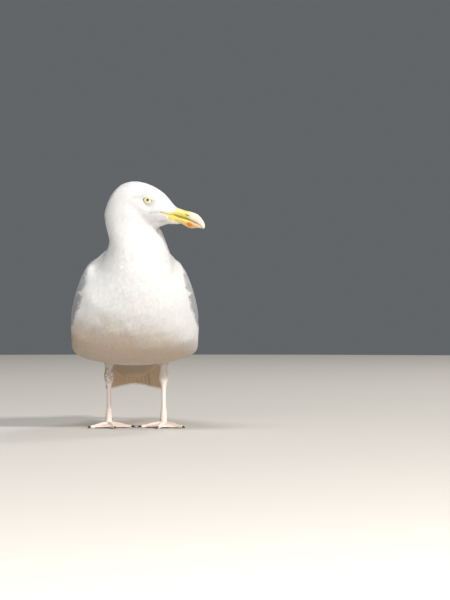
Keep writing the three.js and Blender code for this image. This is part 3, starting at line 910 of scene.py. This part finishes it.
def covert_length(points):
    """Small at the edges of the grey, large on the shoulders."""
    return mix(9.0, 20.0, ramp(grey_depth(points), 0, 26)) + 8.0 * ramp(-points[:, 1], 10, -50)


def covert_width(points):
    return covert_length(points) * 0.62


def covert_gap(points):
    return covert_length(points) * 0.21


def down_the_leg(low, high):
    """A size that grows from the legs' bare part up to the belly."""
    return lambda points: mix(low, high, ramp(points[:, 2], 76, 96))


# How far forward the feathers reach at each height: chin, gape, and the forehead's point.
FEATHER_EDGE = (
    (-30, 48), (-20, 48), (-18.6, 34), (-14.5, 33), (-12, 21), (-9.8, 21), (-8.5, 40), (-6.4, 41.5),
    (-0.8, 37), (6, 34),
)


def bare(points):
    """True on the bill, in the eye openings and on the legs, where no feathers grow."""
    forward, up, left = in_head(points)
    result = (forward > along_line(up, *FEATHER_EDGE) - 1.0) & (forward > 10) & (np.abs(left) < 14)
    result &= (up < 8) & (up > -27)
    for side in (-1, 1):
        middle, gaze, front, top = eye_axes(side)
        out = points - middle
        result |= (np.hypot(out @ front / 7.0, out @ top / 6.1) < 1) & (out @ gaze > 0)
    return result | (points[:, 2] < FEATHERED_DOWN_TO)


def grow_coats():
    """All the small feathers, coat by coat."""
    centres = body_points[body_faces].mean(1)
    side, ahead, up = centres[:, 0], -centres[:, 1], centres[:, 2]
    on_grey = grey_share(centres) > 0.5
    feathered = ~bare(centres)
    grey = feathered & on_grey
    white = feathered & ~on_grey
    head = up > 266
    neck = (up > 222) & ~head
    low = white & ~head & ~neck
    leg = (from_leg(body_points)[body_faces].min(1) < 24) & (up < 96)
    breast = (ahead > 25) & (up > 128)

    small = dict(slot="plumage_white", spacing=feather_gap, length=feather_length, width=feather_width)
    coat("coat_head", feathered & head, **small, point=0.4, swing=7)
    coat("coat_neck", white & neck, **small)
    coat("coat_breast", low & breast, **small, columns=5)
    coat("coat_belly", low & (ahead > -40) & ~leg & ~breast, **small, columns=5)
    coat("coat_rear", low & (ahead <= -40) & ~leg, **small, columns=5)
    coat("coat_thighs", low & leg, "plumage_white", down_the_leg(1.0, 1.5), down_the_leg(5.0, 13.0),
         down_the_leg(2.2, 4.2), down_the_leg(1.1, 1.9), columns=5)
    large = dict(slot="plumage_grey", spacing=covert_gap, length=covert_length, width=covert_width, rows=6,
                 columns=6, fray=0.05, swing=4, fringe=0.16, trimmed=True)
    coat("coat_mantle", grey & (np.abs(side) < WING_FROM), **large)
    coat("coat_wing_left", grey & (side >= WING_FROM), **large)
    coat("coat_wing_right", grey & (side <= -WING_FROM), **large)


grow_coats()

# ---------------------------------------------------------------- flight feathers

FINE = np.array([-1, -0.75, -0.5, -0.25, -0.05, 0, 0.05, 0.25, 0.5, 0.75, 1.0])
PLAIN = np.array([-1, -0.6, -0.06, 0, 0.06, 0.6, 1.0])
STEPS = 22
THICKNESS = 0.45
SHAFT = 0.35  # how far the shaft stands out at the root
ROLL = 0.07  # how far a feather leans over its lower neighbour


def toward_tip(steps):
    """Shares of a feather's length, closer together towards its tip."""
    return 1 - (1 - np.linspace(0, 1, steps)) ** 1.9


def vane_arrays(line, up, half, colour, camber=0.1, below=None, columns=FINE):
    """A closed blade along a line of points. half is the half width at each point.

    colour is a function of the share of the length, and of the share across from -1 to 1.
    """
    steps = len(line)
    along = np.concatenate([[0], np.cumsum(np.linalg.norm(np.diff(line, axis=0), axis=1))])
    ahead = unit(np.gradient(line, axis=0))
    up = laid(up, ahead)
    side = np.cross(up, ahead)
    u = columns[None, :]
    bend = -camber * half[:, None] * u ** 2
    ridge = SHAFT * (np.abs(u) < 0.01) * mix(1, 0.3, along / along[-1])[:, None]
    flat = line[:, None] + side[:, None] * (u * half[:, None])[..., None]
    top = flat + up[:, None] * (bend + ridge)[..., None]
    under = flat + up[:, None] * (bend - THICKNESS)[..., None]
    ring = np.concatenate([top, under[:, ::-1]], 1)
    m = ring.shape[1]
    cap = np.array([[j, j + 1, m - 2 - j, m - 1 - j] for j in range(m // 2 - 1)])
    share = np.repeat((along / along[-1])[:, None], m, 1)
    across = np.repeat(np.concatenate([columns, columns[::-1]])[None], steps, 0)
    tint = colour(share, across)
    # below, when given, is a colour of painted shade for the underside, kept off a rim at the tip.
    if below is not None:
        under_side = (np.arange(m) >= m // 2) * ramp(share, 0.97, 0.93)
        tint = mix(tint, below, under_side[..., None])
    return dict(
        points=ring.reshape(-1, 3),
        faces=np.concatenate([rings_joined(steps, m), cap[:, ::-1], cap + (steps - 1) * m]),
        tint=tint.reshape(-1, 3),
        along=np.repeat(along, m),
        across=(across * half.max()).ravel(),
        uv=np.stack([(across + 1) / 2, share], -1).reshape(-1, 2),
    )


def blades(name, vanes, replaces=()):
    """Several vanes as one piece, each on its own strip of the unwrap."""
    def joined(key):
        return np.concatenate([vane[key] for vane in vanes])

    offset = np.cumsum([0] + [len(vane["points"]) for vane in vanes])
    for i, (vane, first) in enumerate(zip(vanes, offset)):
        vane["uv"] = (vane["uv"] * [0.9, 0.98] + [i + 0.05, 0.01]) / [len(vanes), 1]
        vane["faces"] = vane["faces"] + first
    piece(name, joined("points"), joined("faces"), joined("tint"), VANE, replaces, joined("uv"),
          marks={"Along": joined("along"), "Across": joined("across")})


def blade_outline(s, base=0.55, tip=0.18):
    """Half width at each share of a feather's length as a share of its widest, with a rounded end."""
    swell = mix(base, 1.0, ramp(s, 0, 0.5))
    return swell * np.sqrt(np.clip(1 - np.clip((s - (1 - tip)) / tip, 0, 1) ** 2, 0.0004, 1))


def plain(colour, white=0.0, edge=0.0):
    """A feather of one colour, with the last share of its length white and its edges paler."""
    def paint(share, across):
        start = 1 - white * (1 - 0.3 * across ** 2)
        end = ramp(share, start - 0.02, start + 0.02)[..., None] * (white > 0)
        rim = ramp(np.abs(across), 0.7, 1.0)[..., None] * edge
        return mix(mix(colour, WHITE, rim), WHITE, end)
    return paint


def tipped(white, edge):
    """A grey feather, each one a little lighter or darker than the last."""
    return plain(GREY * rng.uniform(0.95, 1.05), white, edge)


# Forward, then up and left of the plate's upper and lower edges, and how far the right one is lowered.
PRIMARY_PLATE = np.array([
    (-306, 71, -17, 67, -6, 13),
    (-280, 84, -12, 76, 6, 12),
    (-240, 101, -1, 86, 20, 9),
    (-200, 118, 9, 92, 31, 4),
    (-160, 132, 16, 96, 38, 0),
    (-130, 140, 18, 100, 50, 0),
])
PRIMARY_COUNT = 6
PRIMARY_SPOT = 7.5  # the length of each one's white end


def primaries(side):
    """The black wing tip: long blades, the shorter ones over the longer, each with a white spot."""
    made = []
    s = toward_tip(STEPS)
    for k in range(PRIMARY_COUNT):
        place = k / (PRIMARY_COUNT - 1)
        forward = mix(-140, mix(-216, -304, place), s)
        upper_z, upper_x, lower_z, lower_x, drop = [
            np.interp(forward, PRIMARY_PLATE[:, 0], column) for column in PRIMARY_PLATE[:, 1:].T
        ]
        upper = np.stack([upper_x, -forward, upper_z], -1)
        lower = np.stack([lower_x, -forward, lower_z], -1)
        line = mix(upper, lower, mix(0.42, 0.5, place))
        half = np.linalg.norm(lower - upper, axis=1) / 2
        half = np.minimum(half * 0.95, 12.5) * blade_outline(s, 0.9, 0.1)
        out = unit(np.cross(lower - upper, np.gradient(line, axis=0)))
        out = out * np.sign(out[:, :1])
        line = line + out * (PRIMARY_COUNT - 1 - k) * 0.55
        if side < 0:
            line = line * [-1, 1, 1] - np.outer(drop, [0, 0, 1])
            out = out * [-1, 1, 1]
        made.append(vane_arrays(line, out, half, plain(BLACK, PRIMARY_SPOT / np.ptp(forward))))
    return made


def tail_feathers(count=12):
    """White feathers in a low roof, the middle pair on top."""
    made = []
    s = toward_tip(STEPS)
    half = 10.5 * blade_outline(s, 0.7, 0.1)
    middle = (count - 1) / 2
    for k in range(count):
        spread = (k - middle) / middle
        forward = mix(-150, -263 + 5 * spread ** 2, s)
        up = mix(101, 47.5, s) - mix(2, 4.5, s) * spread ** 2 + 0.6
        line = np.stack([mix(24, 31, s) * spread, -forward, up], -1)
        line[:, 2] -= np.abs(k - middle) * 0.3
        lean = np.stack([0.28 * spread * np.ones(STEPS), 0.38 * np.ones(STEPS), np.ones(STEPS)], -1)
        # Their undersides are painted in warm shade, all but a white rim at the tips.
        made.append(vane_arrays(line, lean, half, plain(WHITE * 0.98), camber=0.02, below=UNDER_SHADE))
    return made


def flank_point(side, forward, up):
    """The outer surface of a folded wing at a place in side view, and its normal."""
    return shot_onto_body(side, forward, up, np.zeros(len(forward)))


def back_point(side, forward, angle):
    """The surface of the wing or back, at an angle up from the side round the body's axis."""
    axis_height = along_line(forward, (-200, 92), (-126, 112), (-36, 140), (28, 168), (70, 182))
    return shot_onto_body(side, forward, axis_height, np.radians(angle))


def shot_onto_body(side, forward, up, angle):
    """The places and normals where rays from outside meet the skin."""
    places, normals = [], []
    for f, z, a in zip(forward, up, angle):
        out = Vector((side * math.cos(a), 0, math.sin(a)))
        hit, normal, _, _ = body_tree.ray_cast(Vector((0, -f, z)) + out * 260, -out)
        if hit is None:
            hit, normal, _, _ = body_tree.find_nearest(Vector((side * 45, -f, z)))
        places.append(hit)
        normals.append(normal)
    return np.array(places), np.array(normals)


def laid_vane(side, at, root, tip, half, lift, colour, steps=20, columns=FINE, out_from=0.2, base=0.6):
    """A long feather lying on the bird from root to tip, both read by the function at.

    lift is its height over the skin at the root and at the tip, and out_from the share of its
    length where it starts to rise out of the coat. It is rolled to lie over the one below it.
    """
    s = toward_tip(steps)
    line, normal = at(side, mix(root[0], tip[0], s), mix(root[1], tip[1], s))
    chain = np.stack([np.arange(steps - 1), np.arange(1, steps)], 1)
    normal = unit(smoothed(normal, chain, steps // 2))
    line = smoothed(line, chain, 3, np.where((s > 0) & (s < 1), 0.5, 0.0))
    line = line + normal * mix(lift[0], lift[1], ramp(s, out_from, 0.9))[:, None]
    rolled = unit(normal + ROLL * np.array([-0.6 * side, 0, 0.8]))
    return vane_arrays(line, rolled, half * blade_outline(s, base, 0.24), colour, 0.04, columns=columns)


def covert(*where_and_how):
    """A shorter feather, narrow at its root."""
    return laid_vane(*where_and_how, steps=14, columns=PLAIN, out_from=0.25, base=0.15)


def low_on_wing(side, forward, reach, root_up, tip_up, *half_and_how):
    """A covert lying along the wing's lower edge."""
    root = (forward, wing_lower_edge(forward) + root_up)
    tip = (forward - reach, wing_lower_edge(forward - reach) + tip_up)
    return covert(side, flank_point, root, tip, *half_and_how)


def secondaries(side):
    """Only their white tips show, as a line along the wing's lower edge."""
    return [
        low_on_wing(side, forward, 40, 14, 0.5, 7, (0.6, 2.0), tipped(0.28, 0.0))
        for forward in np.arange(0, -116, -9.0)
    ]


def greater_coverts(side):
    made = []
    for forward in np.arange(4, -108, -6.5):
        grown = ramp(forward, 12, -26)
        reach = mix(24, 44, grown) * rng.uniform(0.95, 1.05)
        made.append(low_on_wing(side, forward, reach, mix(16, 26, grown), 5, mix(5, 9, grown), (0.1, 2.1),
                                tipped(0.03, 0.12)))
    return made


def tertials(side, count=6):
    """The long inner feathers whose white tips make a stepped crescent behind the back."""
    made = []
    for k in range(count):
        share = k / (count - 1)
        root = (mix(-60, -30, share), mix(128, 168, share))
        tip = (mix(-196, -122, share), mix(102, 142, share))
        made.append(laid_vane(side, flank_point, root, tip, 12.5, (0.4, 2.2 + 0.4 * k), tipped(0.09, 0.15)))
    return made


def scapulars(side, count=9):
    """The hindmost feathers of the shoulder, with white tips that make a crescent over the tertials."""
    made = []
    for k in range(count):
        share = k / (count - 1)
        forward = mix(-24, -74, share) + rng.uniform(-1.5, 1.5)
        angle = mix(8, 54, share)
        made.append(covert(side, back_point, (forward, angle), (forward - 42, angle - 4), 11,
                           (0.1, 2.3 + 0.08 * k), tipped(0.12, 0.12)))
    return made


for side, label in SIDES:
    blades("primary_vanes_" + label, primaries(side), ("primaries_" + label,))
    blades("secondary_vanes_" + label, secondaries(side))
    blades("covert_vanes_" + label, greater_coverts(side))
    blades("tertial_vanes_" + label, tertials(side))
    blades("scapular_vanes_" + label, scapulars(side))
blades("tail_vanes", tail_feathers(), ("tail",))

# ---------------------------------------------------------------- bill


def patch(forward, up, at, reach, soft):
    """1 inside an oval in side view, 0 outside, with a soft edge."""
    return ramp(np.hypot((forward - at[0]) / reach[0], (up - at[1]) / reach[1]), 1 + soft, 1 - soft)


def bill_line(forward):
    """How high the line between the two halves of the bill runs, from the gape to the tip."""
    return along_line(
        forward, (10, -15), (20, -11.6), (31.8, -11.6), (39.4, -10.9), (52.5, -11.5), (64.6, -12.6),
        (72, -13.9), (79, -18.5),
    )


def bill_tint(points):
    forward, up, _ = in_head(points)
    line = bill_line(forward)
    colour = np.repeat(YELLOW[None], len(points), 0)
    colour = painted(colour, BILL_BASE, ramp(forward, 50, 38) * ramp(up, -8, -4) * 0.8)
    colour = painted(colour, GAPE, ramp(forward, 34, 27))
    colour = painted(colour, OLIVE, patch(forward, up, (50, line + 2.2), (15, 2.2), 0.5) * 0.75)
    colour = painted(colour, IVORY, ramp(forward + 0.5 * (up + 12), 57, 66))
    colour = painted(colour, ORANGE, patch(forward, up, (66, -17.5), (9, 3.6), 0.5) * 0.7)
    colour = painted(colour, RED, patch(forward, up, (62.3, -18), (4.2, 3.2), 0.45) * 0.95)
    # Painted shade in the line between the two halves.
    crease = hump(up, line, 0.5) * ramp(forward, 76, 70)
    return np.clip(painted(colour, BILL_CREASE_SHADE, crease * 0.9), 0, 1)


def off_nostril(points):
    """How far each point lies from the nostril slit's middle, 1 at its edge."""
    forward, up, _ = in_head(points)
    return np.hypot((forward - 56) / 4.4, (up + 6.9 + 0.1 * (forward - 56)) / 0.8)


def bill_relief(points):
    """How far the bill's surface stands out: less at nostrils and gape line, more at the cutting edges."""
    forward, up, _ = in_head(points)
    slit = off_nostril(points)
    nostril = -1.3 * ramp(slit, 1.15, 0.5) + 0.22 * hump(slit, 1.6, 0.5)
    line = up - bill_line(forward)
    crease = -0.55 * hump(line, 0, 0.42) * ramp(forward, 77, 72)
    lip = 0.2 * hump(line, 1.0, 0.6) * ramp(forward, 77, 70)
    plate = hump(line - 5.0 + 0.05 * (forward - 40), 0, 0.5)
    return nostril + crease + lip - 0.18 * plate * ramp(forward, 34, 40) * ramp(forward, 64, 54)


def bill():
    """Both halves of the closed bill in one, with the line between them as a crease."""
    points, faces = remeshed(BILL_NODES, BILL_VOXEL, 0.32)
    points = evened(points, edges_of(faces), 30, 15, 0.5)
    normals = normals_of(points, faces)
    points = points - normals * 0.2
    slit = off_nostril(points)
    points = points + normals * bill_relief(points)[:, None]
    # Painted shade in the nostril slit.
    tint = painted(bill_tint(points), NOSTRIL_SHADE, ramp(slit, 1.0, 0.5) * 0.9)
    piece("bill_horn", points, faces, tint, HORN, BILL_NODES)


bill()

# ---------------------------------------------------------------- eyes

PUPIL = 1.8
IRIS = 5.2


def eyeball(side, label, rings=40, around=48):
    """A ball with a low cornea, its iris and pupil painted round the gaze."""
    middle, gaze, front, top = eye_axes(side, GAZE_AT)
    polar = np.linspace(0.0, math.pi, rings) ** 1.4 / math.pi ** 0.4
    turn = np.arange(around) / around * 2 * math.pi
    radial = EYE_RADIUS * np.sin(polar)
    bulge = 0.5 * ramp(radial, 5.0, 1.0) * (polar < math.pi / 2)
    height = (EYE_RADIUS + bulge) * np.cos(polar)
    ring = np.cos(turn)[:, None] * front + np.sin(turn)[:, None] * top
    points = middle + gaze * height[:, None, None] + ring[None] * radial[:, None, None]
    r = np.repeat(radial, around)
    behind = np.repeat(polar > 1.2, around)
    turns = np.tile(turn, rings)
    fleck = 0.5 + 0.5 * np.sin(turns * 23 + 3 * np.sin(turns * 7))
    colour = painted(IRIS_PALE, IRIS_FLECK, fleck * 0.5)
    colour = painted(colour, IRIS_RIM, ramp(r, IRIS - 1.0, IRIS))
    colour = painted(colour, PUPIL_BLACK, ramp(r, PUPIL + 0.15, PUPIL - 0.1))
    colour = painted(colour, DARK * 0.4, (ramp(r, IRIS - 0.1, IRIS + 0.25) + behind).clip(0, 1))
    faces = rings_joined(rings, around)[:, [0, 3, 2, 1]]
    piece("eyeball_" + label, points.reshape(-1, 3), faces, colour, EYE, ("eye_" + label,))


# How far out from the opening's edge, and how high over the ball's surface.
LID_PROFILE = (
    (-0.5, -0.5), (-0.1, 0.15), (0.3, 0.5), (0.8, 0.62), (1.25, 0.42), (1.7, 0.45), (2.3, 0.2), (2.9, -0.6),
    (3.4, -2.2),
)


def eyelid(side, around=72):
    """The bare ring of skin round an eye: from the ball, over a soft rim, and down under the feathers."""
    middle, gaze, front, top = eye_axes(side)
    turn = np.arange(around) / around * 2 * math.pi
    c, s = np.cos(turn), np.sin(turn)
    almond = 1 + 0.12 * np.abs(c) ** 6
    thick = mix(0.55, 1.25, ramp(s + 0.5 * c, -0.6, 0.8))
    points = []
    for out, rise in LID_PROFILE:
        wide = np.where(out > 0, out * thick, out)
        ahead = (EYE_OPENING[0] * almond + wide) * c
        above = (EYE_OPENING[1] * np.where(s > 0, 0.84, 1.04) + wide) * s - 0.4 * c
        radius = np.hypot(ahead, above)
        level = np.sqrt(np.maximum(EYE_RADIUS ** 2 - np.minimum(radius, 6.6) ** 2, 0))
        wrinkle = 0.08 * np.sin(turn * 24 + out * 2) * (out > 0.5)
        high = (level + rise + wrinkle)[:, None]
        points.append(middle + gaze * high + front * ahead[:, None] + top * above[:, None])
    out = np.repeat([out for out, _ in LID_PROFILE], around)
    turns = np.tile(turn, len(LID_PROFILE))
    # Painted shade in the corners' creases and where the lid meets the ball; over the upper lid's inner part
    # the dark is partly the lid's dark edge and partly painted shadow from the lid.
    corner = hump(np.abs(np.cos(turns)), 1, 0.04)
    upper = ramp(np.sin(turns), -0.1, 0.4) * ramp(out, 0.8, 0.3)
    dark = np.clip(corner * 0.8 + upper * 0.9 + ramp(out, 0.1, -0.4) * 0.8, 0, 0.95)
    colour = painted(painted(LID, LID_EDGE, ramp(out, 0.6, 2.0)), DARK, dark)
    return np.array(points).reshape(-1, 3), rings_joined(len(LID_PROFILE), around), colour


# ---------------------------------------------------------------- legs and feet

SCUTE_GAP = 2.9  # from one scute to the next down the shank
TOE_SCUTE_GAP = 2.3


def bare_legs():
    """Both shanks and feet, with their scutes."""
    points, faces = remeshed(BARE_NODES, LEG_VOXEL, 0.2)
    points = smoothed(points, edges_of(faces), 8, 0.4)
    normals = normals_of(points, faces)
    x, y, height = points.T
    front = ramp(-normals[:, 1], 0.05, 0.5)
    top = ramp(normals[:, 2], 0.2, 0.6)
    bands = np.cos(height / SCUTE_GAP * 2 * math.pi + 0.4 * np.sin(x * 0.9))
    scutes = ramp(bands, 0.55, 1.0) * front * ramp(height, 12, 17)
    rings = np.cos(np.hypot(x - np.sign(x) * LEG_SIDE, y + TOES_AHEAD) / TOE_SCUTE_GAP * 2 * math.pi)
    toe_scutes = ramp(rings, 0.5, 1.0) * top * ramp(height, 14, 10) * ramp(height, 2.2, 3.6)
    knobs = 0.5 + 0.5 * np.sin(x * 2.1 + 1.3 * height) * np.sin(y * 2.3 + height * 1.7)
    points = points - normals * (0.3 * scutes + 0.28 * toe_scutes + 0.08 * knobs)[:, None]
    colour = painted(FLESH, SHANK, ramp(height, 15, 40) * 0.8)
    colour = painted(colour, SCUTE, (0.35 * scutes + 0.35 * toe_scutes).clip(0, 1))
    # Painted shade in flecks about the right leg's joint.
    colour = painted(colour, SHADE, joint_shade_flecks(points))
    colour = painted(colour, WEB, ramp(height, 3.4, 2.0) * top * 0.6)
    return points, faces, colour


def whole_skin():
    """Body, eyelids, legs and feet as one skin."""
    face = bare(body_points) & (in_head(body_points)[0] > 12)
    body_colour = painted(plumage_tint(body_points), bill_tint(body_points), face)
    parts = [(body_points, body_faces, body_colour), eyelid(1), eyelid(-1), bare_legs()]
    offset = np.cumsum([0] + [len(points) for points, _, _ in parts])
    piece(
        "skin",
        np.concatenate([points for points, _, _ in parts]),
        np.concatenate([in_triangles(faces) + first for (_, faces, _), first in zip(parts, offset)]),
        np.concatenate([colour for _, _, colour in parts]),
        SKIN, FLESH_NODES + BARE_NODES,
    )


whole_skin()
for side, label in SIDES:
    eyeball(side, label)
for name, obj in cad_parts.items():
    if name.startswith("claw"):
        obj.data.materials.clear()
        obj.data.materials.append(CLAW)

# ---------------------------------------------------------------- floor, lights and camera

FLOOR_RADIUS = 3.2
FLOOR_COLOUR = (0.53, 0.50, 0.46)
BIRD = Vector(ORIGIN) + Vector((0, 0, 0.2))  # where the lights point

# Each light's place in metres, size, power in watts, and colour.
LIGHTS = {
    "key": ((2.9, -3.2, 3.0), 1.2, 232, (1.0, 0.98, 0.95)),
    "sky": ((-1.3, -2.0, 4.8), 3.0, 142, (0.95, 0.98, 1.0)),
    "fill": ((-0.9, -4.5, 1.4), 2.4, 54, (0.98, 0.98, 1.0)),
    "bounce": ((0.8, -3.2, 0.10), 1.6, 40, (1.0, 0.92, 0.82)),
    "back": ((1.4, 2.2, 2.6), 1.0, 40, (1.0, 0.98, 0.95)),
}

VIEW_DISTANCE = 6.0
VIEW_RISE = math.radians(1)
VIEW_WIDTH = 0.798  # at the bird
VIEW_MIDDLE = (0.120, 0.1695)  # to the bird's left, and up


def add_floor():
    """A plain pale disk to stand on."""
    material, tree, main = shader("floor", 0.9, Specular_IOR_Level=0.1)
    noise = node(tree, "TexNoise", Scale=3.0, Detail=2.0)
    two_colours(tree, main, noise, [[part * factor for part in FLOOR_COLOUR] for factor in (0.98, 1.02)])
    disk = bmesh.new()
    bmesh.ops.create_circle(disk, cap_ends=True, radius=FLOOR_RADIUS, segments=96)
    mesh = bpy.data.meshes.new("floor")
    disk.to_mesh(mesh)
    disk.free()
    mesh.materials.append(material)
    obj = in_scene("floor", mesh)
    obj.location.z = -0.0002


def look(obj, place, aim):
    obj.location = place
    obj.rotation_euler = (Vector(aim) - Vector(place)).to_track_quat("-Z", "Y").to_euler()


def add_light(name, place, size, power, colour):
    light = bpy.data.lights.new(name, "AREA")
    light.shape = "DISK"
    light.size = size
    light.energy = power
    light.color = colour
    look(in_scene(name, light), place, BIRD)


def add_camera():
    """Nearly level with the bird, from far off, with the bird left of the middle."""
    camera = bpy.data.cameras.new("camera")
    camera.sensor_width = 36.0
    camera.lens = camera.sensor_width * VIEW_DISTANCE / VIEW_WIDTH
    camera.clip_end = 50
    obj = in_scene("camera", camera)
    left, up = VIEW_MIDDLE
    place = Vector(ORIGIN) + Vector((0, -VIEW_DISTANCE, up + VIEW_DISTANCE * math.sin(VIEW_RISE)))
    look(obj, place, Vector(ORIGIN) + Vector((left, 0, up)))
    bpy.context.scene.camera = obj


def add_world():
    world = bpy.data.worlds.new("studio")
    world.use_nodes = True
    background = world.node_tree.nodes["Background"]
    background.inputs["Color"].default_value = (0.88, 0.94, 1.0, 1)
    background.inputs["Strength"].default_value = 0.14
    bpy.context.scene.world = world


add_floor()
for name, settings in LIGHTS.items():
    add_light(name, *settings)
add_camera()
add_world()
bpy.context.scene.view_settings.view_transform = "Standard"
